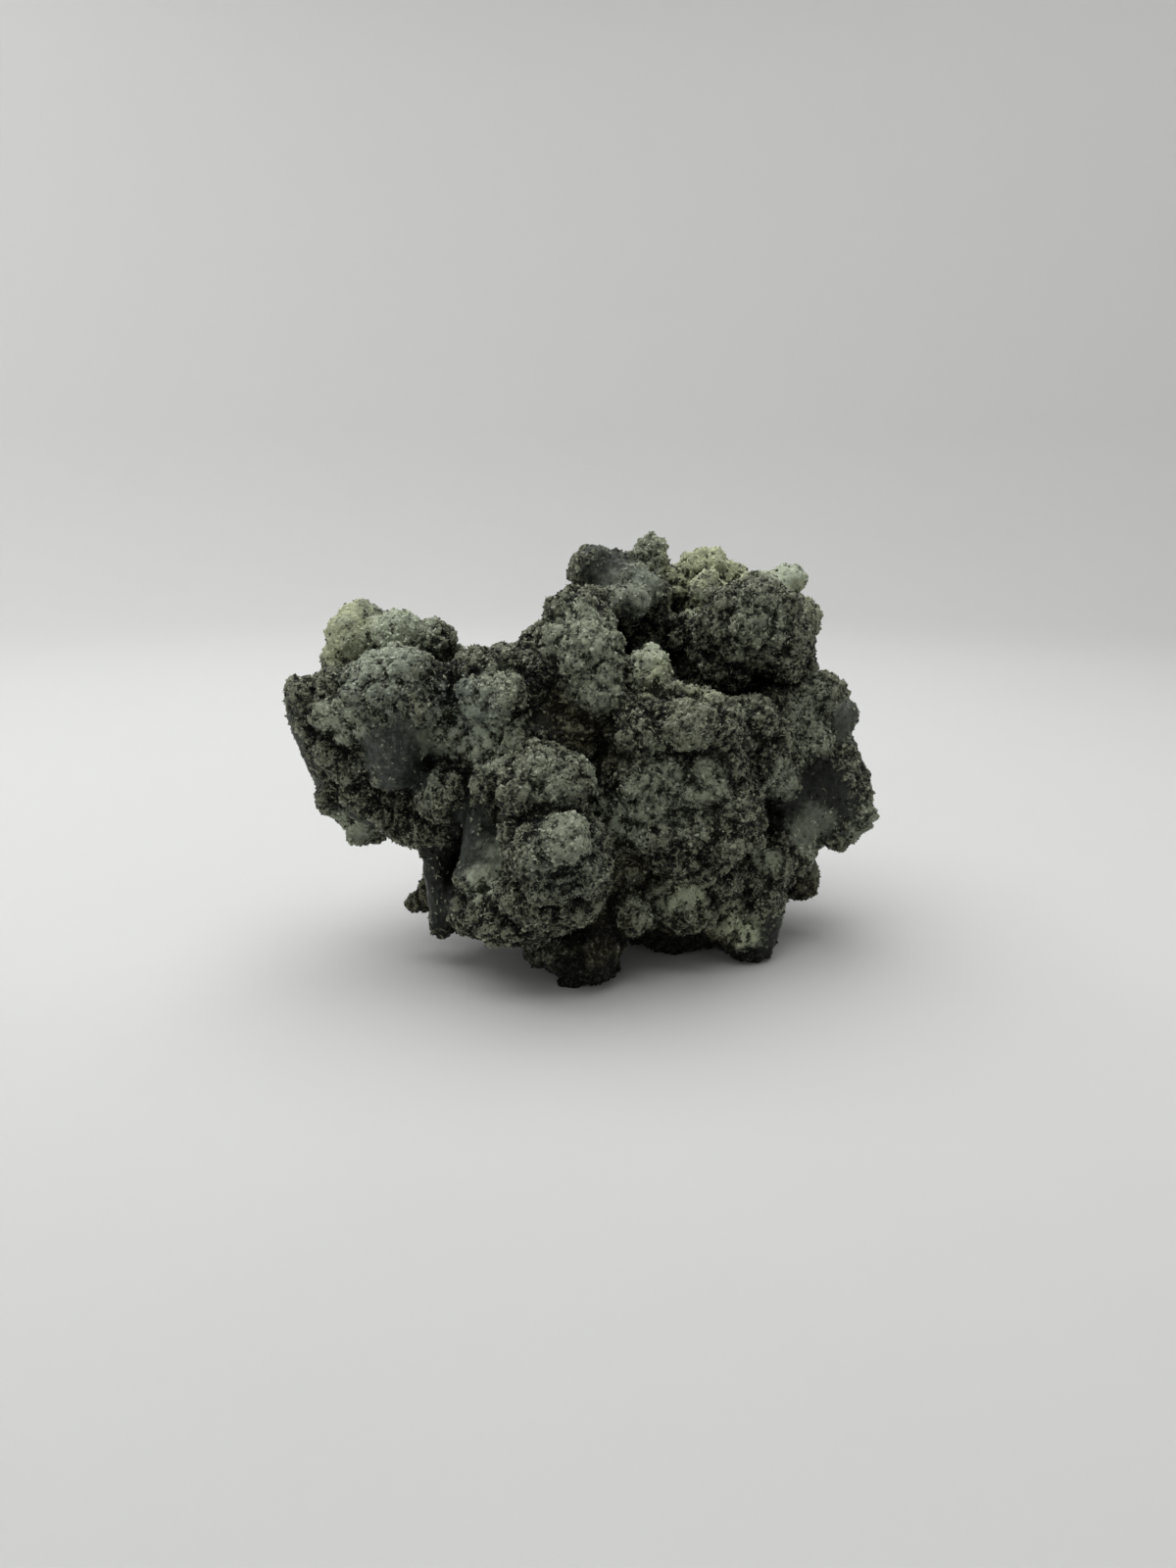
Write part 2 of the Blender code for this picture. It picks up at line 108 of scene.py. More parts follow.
zones = {
    # glassy or worn smooth, with hardly any grains
    "smooth": (
        ((-32.2, 1, 44.6), 5.0, 0.55),      # pale lobe of the wing
        ((-23.8, -11, 30.9), 6.0, 0.95),    # worn face under the wing
        ((-14.6, -12, 35.6), 3.0, 0.6),
        ((-6.2, -9, 32.7), 3.0, 0.7),
        ((-14.7, -13, 20.0), 5.5, 0.9),     # glassy rod in front
        ((-19.6, -7, 12.1), 6.5, 1.0),      # grooved pillar
        ((5.2, 0, 49.4), 4.0, 0.55),        # purple-grey stub
        ((2.6, 3.4, 52.8), 4.8, 0.75),      # long crown rod
        ((7.2, 3.2, 50.6), 3.6, 0.75),
        ((35.9, 8, 32.2), 5.0, 1.0),        # glassy finger on the right
        ((31.8, 0, 20.4), 6.8, 1.0),        # fan of fibres
        ((-38.6, 0, 31.6), 5.0, 0.95),      # the wing's left flank
        ((-36.0, 0, 26.0), 5.5, 0.95),
        ((24.8, -3, 4.4), 5.6, 0.85),       # right foot
        ((-31.0, -5, 18.9), 4.0, 0.7),
        ((27.6, 13, 50.0), 4.4, 0.7),       # clear knob of the crown
        ((14.5, -14, 25.4), 5.0, 0.35),
        ((26.3, -2, 24.6), 4.0, 0.5),
    ),
    # pale green tips
    "pale": (
        ((-32.2, 3, 44.0), 6.5, 0.9),
        ((-25.5, -1, 45.4), 6.0, 1.0),
        ((-25.2, -10, 41.9), 5.5, 0.5),
        ((16.6, 13, 52.0), 6.8, 1.0),
        ((16.4, 9, 47.4), 4.2, 0.8),
        ((9.2, 14.5, 52.6), 4.2, 0.8),
        ((27.4, 13, 50.6), 5.5, 1.0),
        ((31.6, 14, 45.9), 4.2, 0.3),
        ((-2.4, -23.0, 23.6), 3.4, 0.6),
        ((7.9, -4.6, 40.9), 3.4, 0.7),
        ((7.4, -7, 38.4), 2.8, 0.5),
        ((11.1, -8, 38.0), 2.8, 0.35),
        ((14.9, -8, 37.2), 2.8, 0.6),
        ((18.6, -8, 35.7), 2.6, 0.5),
        ((12.2, -14, 34.7), 4.0, 0.12),
        ((12.6, -10, 11.8), 3.0, 0.85),
        ((20.4, -7.0, 5.4), 2.9, 1.0),
        ((24.1, -2, 13.6), 2.6, 0.8),
        ((-12.6, -13.6, 14.6), 3.2, 0.9),
        ((25.0, -3.5, 26.0), 3.4, 0.4),
        ((6.0, -11, 9.6), 2.8, 0.6),
        ((38.5, 5, 17.5), 3.5, 0.3),
        ((-4.7, -18, 28.8), 4.0, 0.4),
        ((-0.6, -16, 29.6), 2.6, 0.5),
        ((-11.4, -12, 39.5), 3.4, 0.45),
        ((-15.2, -12.4, 36.2), 2.4, 0.45),
        ((-0.6, -9, 45.0), 5.0, 0.55),
        ((5.8, 0, 49.8), 4.4, 0.30),
        ((8.2, 3.0, 53.2), 3.2, 0.35),
        ((36.1, 7, 32.2), 4.5, 0.12),
        ((7.9, -4.8, 42.4), 3.4, 1.0),
        ((1.0, -10, 39.0), 4.0, 0.4),
        ((29.0, 3, 31.5), 5.0, 0.35),
        ((31.5, 6, 35.0), 4.0, 0.35),
        ((22.0, 0, 46.0), 5.0, 0.2),
        ((11.0, -12.3, 28.0), 7.5, 0.25),   # the wide face
    ),
    # where those tips turn yellow
    "yellow": (
        ((16.6, 13, 51.0), 8.0, 0.8),
        ((-33.0, 3, 44.5), 5.5, 0.8),
        ((31.6, 14, 45.9), 5.0, 0.7),
        ((12.0, -9, 37.5), 8.0, 0.6),
        ((17.0, -8, 9.0), 9.0, 0.5),
    ),
    # iron stains in the recesses, and painted shade on the underside near the floor
    "brown": (
        ((-1.9, -7, 33.8), 5.5, 0.8),
        ((6.4, -7, 15.5), 6.5, 0.7),
        ((5.0, -9, 30.4), 4.5, 0.5),
        # these low ones are partly brown stain, partly painted shade under the stone
        ((0.0, -12, 5.0), 7.0, 1.0),
        ((-6.0, -9, 5.0), 5.0, 1.0),
        ((12.0, -2, 3.0), 9.0, 1.0),
        ((6.0, 0, 4.0), 7.0, 1.0),
        ((31.0, 8, 8.0), 5.0, 0.6),
        ((-23.0, 0, 9.0), 5.0, 0.5),
    ),
    # painted shade: spots darkened as if deep in shade, nearly black
    "shadedSpots": (
        ((0.0, -13, 5.6), 5.5, 0.65),
        ((31.0, 0, 21.0), 7.0, 1.0),
        ((-1.9, -7, 33.8), 3.5, 0.3),
        ((11.5, -11.5, 17.5), 5.0, 0.3),
        ((-12.2, -10.5, 40.2), 4.0, 0.5),
        ((11.2, -7, 37.0), 3.0, 0.8),
        ((5.6, -1, 45.4), 3.0, 0.9),
        ((-14.7, -14, 21.3), 3.2, 0.4),
        ((-4.7, -18, 27.4), 4.0, 0.2),
    ),
    # bluish grey
    "blue": (
        ((-25.2, -11, 41.5), 6.0, 0.8),
        ((-14.8, -12.4, 36.2), 5.0, 1.0),
        ((-2.6, -22, 20.5), 6.0, 0.25),
        ((-23.8, -12, 30.9), 7.0, 0.25),
        ((-26.4, 2, 43.0), 5.5, 0.6),
        ((-14.7, -14, 20.0), 5.0, 0.15),
        ((5.2, 1, 49.7), 5.0, 0.5),
    ),
}
zones = {
    name: tuple((Vector(at) - spotShift, reach, strength) for at, reach, strength in spots)
    for name, spots in zones.items()
}
zoneEdge = {
    "fade": (0.6, 1.15),            # shares of its reach between which a zone fades out
    "ragged": ((0.6, 0.35), (1.7, 0.25), (4.1, 0.15)),  # noise that tears it: per mm, how much
}


def zoneAt(name, at):
    # The strongest of the zones that reach this point, at is in mm.
    best = 0.0
    start, end = zoneEdge["fade"]
    ragged = sum(noise.noise(at * scale) * share for scale, share in zoneEdge["ragged"])
    for centre, reach, strength in zones[name]:
        away = (at - centre).length / reach + ragged
        if away < end:
            best = max(best, strength * (1 - soften(away, start, end)))
    return best


# Knobs that the picture shows: centre, half width and half height in mm.
shownKnobs = (
    # the wing
    (-31.7, 3.1, 44.0, 3.2, 3.2), (-30.5, 3.4, 46.6, 1.9, 1.6), (-25.4, 1.3, 44.5, 2.9, 2.4),
    (-20.6, 2.9, 43.2, 2.6, 2.6), (-25.8, -10.3, 40.5, 2.5, 1.7), (-22.2, -11.0, 41.3, 2.4, 1.6),
    (-32.3, -6.5, 38.8, 2.3, 1.7), (-36.1, -6.4, 37.4, 1.9, 1.7), (-25.0, -12.1, 38.4, 1.9, 1.7),
    (-22.0, -11.2, 38.5, 2.4, 1.7), (-28.5, -11.8, 38.0, 1.5, 1.4), (-21.3, -11.5, 36.3, 2.6, 1.5),
    (-32.1, -9.2, 35.4, 2.0, 1.5), (-30.6, -8.1, 32.9, 1.5, 2.0), (-34.3, -3.2, 23.9, 1.7, 2.7),
    (-30.2, -5.1, 24.5, 2.3, 2.0), (-27.1, -4.4, 21.4, 3.4, 1.7), (-30.5, -0.6, 18.1, 2.2, 1.6),
    (-18.6, -10.2, 25.3, 2.9, 3.1), (-19.6, -6.9, 19.9, 3.0, 1.9),
    # the front mass and the lumps above it
    (-14.2, -8.1, 41.1, 2.4, 2.1), (-10.3, -7.7, 41.8, 2.2, 1.7), (-13.5, -10.4, 38.8, 2.2, 1.9),
    (-10.3, -11.4, 38.5, 2.3, 2.2), (-13.9, -11.1, 36.8, 1.8, 1.6), (-11.4, -11.4, 37.0, 1.7, 1.6),
    (-8.8, -9.4, 33.7, 1.7, 1.5), (-9.1, -9.7, 32.2, 2.1, 1.4), (-5.9, -9.8, 32.6, 1.4, 1.6),
    (-12.5, -13.3, 27.8, 1.7, 1.7), (-5.6, -17.3, 30.3, 2.8, 2.0), (-2.1, -17.0, 29.4, 2.6, 2.1),
    (-3.3, -18.1, 28.3, 2.6, 1.9), (1.7, -8.5, 25.0, 1.8, 2.5), (-7.8, -18.2, 27.3, 2.3, 1.9),
    (-6.0, -21.0, 20.9, 3.0, 2.7), (-3.0, -22.2, 23.0, 2.7, 2.7), (-10.9, -11.6, 17.1, 1.7, 2.2),
    (-0.2, -20.1, 18.8, 1.9, 2.8), (-4.6, -20.4, 16.8, 2.8, 1.8), (-8.5, -17.6, 14.3, 2.2, 1.6),
    (-6.0, -17.9, 12.4, 2.9, 2.1), (-1.8, -17.5, 13.5, 2.9, 2.4), (-12.6, -14.6, 11.1, 2.2, 2.1),
    (-11.0, -16.7, 9.5, 2.2, 1.5), (0.3, -12.0, 9.6, 1.8, 1.5), (-14.5, -13.1, 15.6, 2.6, 1.6),
    # the tall lobe
    (-2.9, -5.3, 48.0, 2.1, 2.0), (-0.7, -6.1, 47.8, 1.9, 1.9), (-3.7, -8.5, 44.6, 1.6, 1.5),
    (0.0, -9.4, 44.6, 2.4, 2.2), (-1.3, -9.9, 42.3, 1.9, 1.7), (1.8, -8.9, 41.2, 2.2, 2.2),
    (1.6, -10.2, 38.0, 2.1, 1.5), (2.9, -7.6, 43.6, 1.2, 2.0),
    # the wide face right of the middle
    (7.9, -4.1, 41.5, 2.2, 1.4), (7.8, -4.9, 39.5, 2.5, 1.5), (6.6, -9.6, 35.7, 2.7, 2.0),
    (12.3, -13.1, 36.3, 2.4, 1.0), (12.5, -13.4, 34.7, 2.7, 2.3), (16.9, -10.3, 34.5, 2.0, 2.9),
    (6.0, -12.1, 33.7, 2.2, 1.6), (11.7, -6.2, 37.7, 2.5, 1.0), (15.6, -6.0, 36.8, 1.8, 1.1),
    (6.4, -11.7, 27.7, 2.7, 2.3), (11.1, -11.2, 28.3, 2.0, 1.7), (14.1, -11.7, 28.6, 2.1, 1.7),
    (17.8, -9.5, 28.5, 2.2, 2.1), (14.2, -11.3, 26.2, 3.2, 1.7), (7.7, -11.9, 24.6, 2.4, 2.0),
    (18.2, -11.1, 23.6, 2.2, 2.7), (13.7, -11.8, 21.1, 2.7, 2.0), (8.4, -12.2, 20.9, 2.7, 2.0),
    (17.6, -12.3, 19.5, 2.2, 1.9), (11.0, -11.3, 17.4, 2.5, 1.8), (13.2, -8.0, 11.6, 3.1, 1.7),
    (12.9, -9.3, 8.9, 3.1, 1.5), (17.6, -7.3, 12.5, 2.3, 2.0), (22.0, -4.9, 33.9, 2.0, 2.8),
    (26.0, 2.2, 33.8, 2.1, 2.4), (24.9, -3.2, 31.2, 1.8, 2.1), (23.7, -3.6, 28.1, 1.8, 2.6),
    (25.7, -2.0, 24.6, 2.6, 1.7), (21.1, -9.1, 19.2, 1.4, 1.4), (25.1, -2.0, 13.0, 2.4, 1.8),
    (29.0, 0.3, 13.6, 1.9, 1.6), (30.5, 7.8, 8.2, 2.6, 2.6),
    # the crown on the right
    (22.8, 0.3, 49.1, 2.9, 1.7), (25.5, 0.5, 48.0, 2.2, 1.7), (18.8, 1.1, 47.8, 2.4, 1.8),
    (17.9, 1.2, 45.6, 2.4, 2.1), (21.1, -1.6, 45.5, 2.1, 1.8), (24.4, -0.4, 45.2, 2.3, 1.8),
    (20.1, 0.8, 42.7, 2.4, 1.6), (23.6, 0.6, 42.5, 2.1, 1.6), (26.3, 0.4, 43.4, 2.0, 2.4),
    (26.7, 2.6, 40.0, 1.9, 1.6), (17.6, 3.4, 39.5, 2.4, 1.6), (13.6, 11.1, 37.2, 2.2, 1.4),
    (14.1, 7.4, 43.9, 2.4, 2.2), (32.8, 5.5, 36.1, 2.5, 1.8), (33.5, 5.4, 35.3, 2.2, 1.5),
    # the small ball over the gap
    (5.5, -12.4, 9.7, 1.6, 2.0),
    # the pale tips behind
    (17.0, 13.4, 52.6, 2.5, 1.7), (18.9, 13.8, 51.0, 2.0, 1.7), (16.4, 9.6, 49.6, 1.9, 1.9),
    (28.2, 15.5, 50.4, 2.6, 1.7), (9.1, 14.3, 54.1, 1.7, 2.3),
    (8.9, 14.5, 50.8, 2.6, 2.4), (8.3, 14.3, 53.2, 2.1, 2.2), (9.6, 14.0, 48.6, 3.0, 2.2),
    # the right foot, the front foot
    (18.8, -4.4, 6.4, 3.0, 2.8), (23.2, -3.6, 7.4, 3.4, 3.4), (21.2, -4.4, 3.8, 3.0, 2.4),
    (-3.1, -13.2, 5.2, 2.7, 2.5), (-6.3, -12.6, 5.6, 1.5, 1.7), (0.6, -13.6, 4.8, 2.8, 2.8),
    # the crown's long rod, the stub under it
    (0.2, 3.6, 52.2, 2.2, 2.3), (0.9, 3.6, 53.3, 2.1, 1.9), (2.0, 3.4, 52.8, 2.1, 1.9),
    (3.5, 3.3, 52.3, 2.1, 1.9), (5.0, 3.1, 51.6, 2.1, 1.9), (6.5, 3.1, 50.8, 2.1, 1.9),
    (8.0, 3.5, 50.1, 2.1, 2.0), (5.5, 0.4, 49.0, 2.5, 1.6), (2.4, -2.0, 48.9, 1.8, 1.3),
    # the grooved pillar
    (-20.1, -6.3, 13.8, 1.9, 2.6), (-19.7, -6.5, 10.6, 1.8, 2.8), (-19.5, -6.6, 7.4, 1.9, 2.2),
    # the fan of fibres
    (34.5, 3.6, 24.5, 1.9, 2.5), (36.4, 4.4, 19.7, 2.0, 2.2), (39.1, 5.1, 18.7, 1.1, 1.4),
    (35.3, 4.8, 15.8, 2.3, 1.7),
)


# Strewing small shapes over a surface.

bareFrom = (0.3, 0.8)               # how smooth a zone is where it starts and ends thinning out
mostPoints = 1e7                    # per square metre, before they are kept apart


def strew(name, host, plan, template, keepHost=False):
    # Sets the template on points all over the host, as real geometry.
    tree = bpy.data.node_groups.new(name, "GeometryNodeTree")
    tree.interface.new_socket("Geometry", in_out="INPUT", socket_type="NodeSocketGeometry")
    tree.interface.new_socket("Geometry", in_out="OUTPUT", socket_type="NodeSocketGeometry")
    source = nodeIn(tree, "NodeGroupInput").outputs[0]
    smoothness = nodeIn(tree, "GeometryNodeInputNamedAttribute", {"Name": "smooth"})
    share = nodeIn(tree, "ShaderNodeMapRange", {
        "Value": smoothness.outputs["Attribute"],
        "From Min": bareFrom[0], "From Max": bareFrom[1],
        "To Min": 1.0, "To Max": plan["onSmooth"],
    }).outputs[0]
    if "apart" in plan:
        points = nodeIn(tree, "GeometryNodeDistributePointsOnFaces", {
            "Mesh": source, "Distance Min": plan["apart"] * mm, "Density Max": mostPoints,
            "Density Factor": share, "Seed": plan["seed"],
        }, distribute_method="POISSON")
    else:
        area = sum(face.area for face in host.data.polygons)
        density = nodeIn(tree, "ShaderNodeMath", {
            0: share, 1: plan["count"] / area,
        }, operation="MULTIPLY")
        points = nodeIn(tree, "GeometryNodeDistributePointsOnFaces", {
            "Mesh": source, "Density": density.outputs[0], "Seed": plan["seed"],
        })
    tone = nodeIn(tree, "FunctionNodeRandomValue", {
        2: plan["tone"][0], 3: plan["tone"][1], "Seed": plan["seed"] + 1,
    }, data_type="FLOAT")
    toned = nodeIn(tree, "GeometryNodeStoreNamedAttribute", {
        "Geometry": points.outputs["Points"], "Name": "tone", "Value": tone.outputs[1],
    }, domain="POINT", data_type="FLOAT")
    lean = plan["lean"]
    turn = nodeIn(tree, "FunctionNodeRandomValue", {
        "Min": (-lean, -lean, 0.0), "Max": (lean, lean, math.tau), "Seed": plan["seed"] + 2,
    }, data_type="FLOAT_VECTOR")
    euler = nodeIn(tree, "FunctionNodeEulerToRotation", {0: turn.outputs[0]})
    rotation = nodeIn(tree, "FunctionNodeRotateRotation", {
        "Rotation": points.outputs["Rotation"], "Rotate By": euler.outputs[0],
    }, rotation_space="LOCAL")
    scale = nodeIn(tree, "FunctionNodeRandomValue", {
        2: plan["size"][0] * mm, 3: plan["size"][1] * mm, "Seed": plan["seed"] + 3,
    }, data_type="FLOAT")
    info = nodeIn(tree, "GeometryNodeObjectInfo", {"Object": template})
    strewn = nodeIn(tree, "GeometryNodeInstanceOnPoints", {
        "Points": toned.outputs[0], "Instance": info.outputs["Geometry"],
        "Rotation": rotation.outputs[0], "Scale": scale.outputs[1],
    })
    result = nodeIn(tree, "GeometryNodeRealizeInstances", {"Geometry": strewn.outputs[0]})
    if keepHost:
        both = nodeIn(tree, "GeometryNodeJoinGeometry")
        tree.links.new(source, both.inputs[0])
        tree.links.new(result.outputs[0], both.inputs[0])
        result = both
    nodeIn(tree, "NodeGroupOutput", {0: result.outputs[0]})
    carrier = place(name + "Carrier", host.data)
    carrier.modifiers.new("strew", "NODES").node_group = tree
    mesh = bake(carrier)
    bpy.data.objects.remove(carrier)
    mesh.name = name
    return mesh


# The skin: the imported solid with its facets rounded, and knobs on knobs grown on it.

skin = {
    "firstCell": 0.6,               # mm between the skin's points before the small knobs
    "cell": 0.42,                   # and after them
    "shrink": 0.8,                  # mm the solid is drawn in first, to make room for the knobs
    "shrinkFrom": (0.3, 2.5),       # mm up, below that the soles stay as they are
    "swell": 1.05,                  # how much fatter the shown knobs are than listed
    "split": 1.5,                   # mm, where the skin is parted into front and back
}
crumb = {
    # fine curly ridges
    "size": 1.3,                    # mm
    "height": 0.55,                 # mm
    "top": 0.42,                    # how far they rise over the skin, as a share of that
    "onSmooth": 0.8,                # share that the smooth zones lose
}
creases = {
    "passes": 5,                    # how often the skin is smoothed to compare with
    "factor": 0.6,
    "deep": 0.30,                   # mm below the smoothed skin, where the painted crease shade is full
}
# Painted shade: the depth mark that darkens pockets, the part near the floor and the shaded spots
shadeRays = {
    "rays": 10,                     # rays that feel how deep a point lies
    "turn": 2.4,                    # radians from ray to ray
    "start": 0.25,                  # mm above the skin
    "reach": 11.0,                  # mm
    "near": 2.6,                    # mm, for the painted shade in the narrow clefts between knobs
    "fade": 0.6,                    # how much less a far hit counts than a near one
    "low": (1.0, 10.0),             # mm up, between which the painted shade near the floor ends
    "floorShadeShare": 0.6,
    "shadedSpotShare": 0.55,               # how much more painted shade the shaded spots get
    "paleShare": 0.3,               # and how much less the pale ones
}
hidden = {
    # big knobs where the picture shows nothing
    "apart": 5.2,                   # mm between them
    "above": 6.0,                   # mm up, they start there
    "size": (2.4, 4.2),             # radius, mm
    "sunk": 0.55,                   # of the radius
    "guard": 1.15,                  # of the radius, must be out of sight
    "margin": 2.0,                  # mm of stone in front of them
    "pale": 0.4,                    # share of them with a pale tip
    "paleOut": 0.6,                 # how far out the tip lies, of the radius
    "paleReach": 1.1,               # its reach, of the radius
    "paleStrength": (0.3, 0.8),
    "seed": 31,
}
knobs = (
    # round knobs first, then the beads that cover them: size is their radius in mm
    {"apart": 2.9, "size": (1.0, 1.9), "sunk": 0.66, "onSmooth": 0.08,
     "shape": (1.1, 0.95, 0.9), "tone": (0, 1), "lean": 0.3, "seed": 5},
    {"apart": 1.15, "size": (0.55, 0.95), "sunk": 0.40, "onSmooth": 0.02,
     "shape": (1.1, 0.95, 0.9), "tone": (0, 1), "lean": 0.6, "seed": 8},
)


def evenGrid(thing, cell):
    remesh = thing.modifiers.new("grid", "REMESH")
    remesh.mode = "VOXEL"
    remesh.voxel_size = cell * mm
    remesh.use_smooth_shade = True
    mesh = bake(thing)
    bpy.data.objects.remove(thing)
    return mesh


def markSmooth(mesh):
    values = [zoneAt("smooth", v.co / mm) for v in mesh.vertices]
    mesh.attributes.new("smooth", "FLOAT", "POINT").data.foreach_set("value", values)


def isHidden(tree, at, size):
    # Whether a ball there stays out of the camera's sight.
    for way in ((0, 0, 0), (1, 0, 0), (-1, 0, 0), (0, 0, 1), (0, 0, -1)):
        spot = (at + Vector(way) * size) * mm
        reach = (spot - eye).length - hidden["margin"] * mm
        if tree.ray_cast(eye, spot - eye, reach)[0] is None:
            return False
    return True


def hiddenKnobs(bm):
    # Big knobs at random over the hidden side, far enough apart, some with a pale tip.
    rng = random.Random(hidden["seed"])
    tree = BVHTree.FromBMesh(bm)
    spots = [(v.co / mm, v.normal.copy()) for v in bm.verts
             if v.co.z > hidden["above"] * mm]
    rng.shuffle(spots)
    kept = []
    for at, normal in spots:
        if any((at - other).length < hidden["apart"] for other in kept):
            continue
        size = rng.uniform(*hidden["size"])
        middle = at - normal * size * hidden["sunk"]
        if not isHidden(tree, middle, size * hidden["guard"]):
            continue
        kept.append(at)
        spot = Matrix.Translation(middle * mm)
        bmesh.ops.create_icosphere(bm, subdivisions=3, radius=size * mm, matrix=spot)
        if rng.random() < hidden["pale"]:
            tip = at + normal * size * hidden["paleOut"]
            strength = rng.uniform(*hidden["paleStrength"])
            zones["pale"] += ((tip, size * hidden["paleReach"], strength),)
    print(len(kept), "knobs on the hidden side")


def roundedSolid():
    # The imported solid, rounded and drawn in a little, with the big knobs set in it.
    bm = bmesh.new()
    bm.from_mesh(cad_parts["prehnite"].data)
    bmesh.ops.remove_doubles(bm, verts=bm.verts, dist=1e-7)
    thing = place("rounded", meshFrom(bm, "rounded"))
    subdivision = thing.modifiers.new("round", "SUBSURF")
    subdivision.levels = subdivision.render_levels = 1
    bm = bmesh.new()
    bm.from_mesh(bake(thing))
    bpy.data.objects.remove(thing)
    normals = [v.normal.copy() for v in bm.verts]
    for v, normal in zip(bm.verts, normals):
        at = v.co / mm
        share = (1 - zoneAt("smooth", at)) * soften(at.z, *skin["shrinkFrom"])
        v.co -= normal * skin["shrink"] * share * mm
    hiddenKnobs(bm)
    for x, y, z, wide, high in shownKnobs:
        spot = Matrix.Translation((Vector((x, y, z)) - spotShift) * mm)
        shape = Matrix.Diagonal((wide * mm, (wide + high) / 2 * mm, high * mm, 1))
        bmesh.ops.create_icosphere(bm, subdivisions=2, radius=skin["swell"],
                                   matrix=spot @ shape)
    mesh = evenGrid(place("rounded", meshFrom(bm, "rounded")), skin["firstCell"])
    markSmooth(mesh)
    return mesh


def growKnobs(mesh, plan):
    # Balls all over the surface, half sunk in it, fused into one new skin.
    bm = bmesh.new()
    bmesh.ops.create_icosphere(bm, subdivisions=2, radius=1.0)
    bmesh.ops.scale(bm, vec=plan["shape"], verts=bm.verts)
    bmesh.ops.translate(bm, vec=(0, 0, -plan["sunk"]), verts=bm.verts)
    template = place("ball", meshFrom(bm, "ball"))
    host = place("host", mesh)
    both = strew("knobs", host, plan, template, keepHost=True)
    bpy.data.objects.remove(template)
    bpy.data.objects.remove(host)
    grown = evenGrid(place("grown", both), skin["cell"])
    markSmooth(grown)
    return grown


def crumble(bm, smoothness):
    # The finest relief that the skin's own points can hold.
    bm.normal_update()
    for v in bm.verts:
        at = v.co / mm
        share = 1 - smoothness[v.index] * crumb["onSmooth"]
        lift = crumb["top"] - noise.turbulence(at / crumb["size"], 2, False)
        v.co += v.normal * lift * crumb["height"] * share * mm
        v.co.z = max(v.co.z, 0.0)
    bm.normal_update()


def feelCreaseShade(bm):
    # How far each point lies below the same skin smoothed: near 1 in a crease, 0 on a tip. It
    # darkens the colour there, as painted shade in the creases.
    soft = bm.copy()
    for _ in range(creases["passes"]):
        bmesh.ops.smooth_vert(soft, verts=soft.verts, factor=creases["factor"],
                              use_axis_x=True, use_axis_y=True, use_axis_z=True)
    soft.verts.ensure_lookup_table()
    felt = []
    for v in bm.verts:
        below = (soft.verts[v.index].co - v.co).dot(v.normal) / (creases["deep"] * mm)
        felt.append(min(1.0, max(0.0, 0.5 + 0.5 * below)))
    soft.free()
    return felt


def feelPocketShade(bm):
    # The share of rays that soon hit the stone or the sheet again: near 1 in a deep pocket. The
    # colour is darkened by it, as painted shade in pockets.
    tree = BVHTree.FromBMesh(bm)
    count = shadeRays["rays"]
    ways = []
    for i in range(count):
        height = 1 - (i + 0.5) / count
        ring = math.sqrt(1 - height * height)
        angle = i * shadeRays["turn"]
        ways.append(Vector((ring * math.cos(angle), ring * math.sin(angle), height)))
    reach, near = shadeRays["reach"] * mm, shadeRays["near"] * mm
    depth, cleftShade = [], []

    def feel(start, way):
        # How far the stone or the sheet below it is that way, if it is within reach.
        away = tree.ray_cast(start, way, reach)[3]
        if away is None and way.z < 0 and -start.z / way.z < reach:
            away = -start.z / way.z
        return away

    for v in bm.verts:
        turn = v.normal.to_track_quat("Z", "Y")
        start = v.co + v.normal * shadeRays["start"] * mm
        found = [feel(start, turn @ way) for way in ways]
        found = [away for away in found if away is not None]
        at = v.co / mm
        # painted shade near the floor
        own = shadeRays["floorShadeShare"] * (1 - soften(at.z, *shadeRays["low"]))
        # painted shade in the shaded spots, less on the pale tips
        own += shadeRays["shadedSpotShare"] * zoneAt("shadedSpots", at) - shadeRays["paleShare"] * zoneAt("pale", at)
        hits = sum(1 - shadeRays["fade"] * away / reach for away in found)
        depth.append(max(0.0, own + hits / count))
        # painted shade in the narrow clefts between knobs
        cleftShade.append(sum(1 - away / near for away in found if away < near) / count)
    return depth, cleftShade


def makeSkin():
    mesh = roundedSolid()
    for plan in knobs:
        mesh = growKnobs(mesh, plan)
    smoothness = [zoneAt("smooth", v.co / mm) for v in mesh.vertices]
    bm = bmesh.new()
    bm.from_mesh(mesh)
    bm.verts.index_update()
    crumble(bm, smoothness)
    depth, cleftShade = feelPocketShade(bm)
    marks = {"smooth": smoothness, "creaseShade": feelCreaseShade(bm), "depth": depth, "cleftShade": cleftShade}
    for name in ("pale", "yellow", "brown", "blue"):
        marks[name] = [zoneAt(name, v.co / mm) for v in bm.verts]
    bm.to_mesh(mesh)
    bm.free()
    for name, values in marks.items():
        spots = mesh.attributes.get(name) or mesh.attributes.new(name, "FLOAT", "POINT")
        spots.data.foreach_set("value", values)
    return place("prehniteSkin", mesh)


def inHalves(piece):
    # The skin as a front and a back piece, so that neither is too heavy.
    halves = []
    for name, side in (("prehniteSkinFront", -1), ("prehniteSkinBack", 1)):
        bm = bmesh.new()
        bm.from_mesh(piece.data)
        others = [f for f in bm.faces
                  if (f.calc_center_median().y / mm - skin["split"]) * side < 0]
        bmesh.ops.delete(bm, geom=others, context="FACES")
        mesh = meshFrom(bm, name)
        halves.append(place(name, mesh))
        print(name, sum(len(face.vertices) - 2 for face in mesh.polygons), "triangles")
    bpy.data.objects.remove(piece)
    return halves


# The grains: thousands of tiny crystals strewn over the skin.

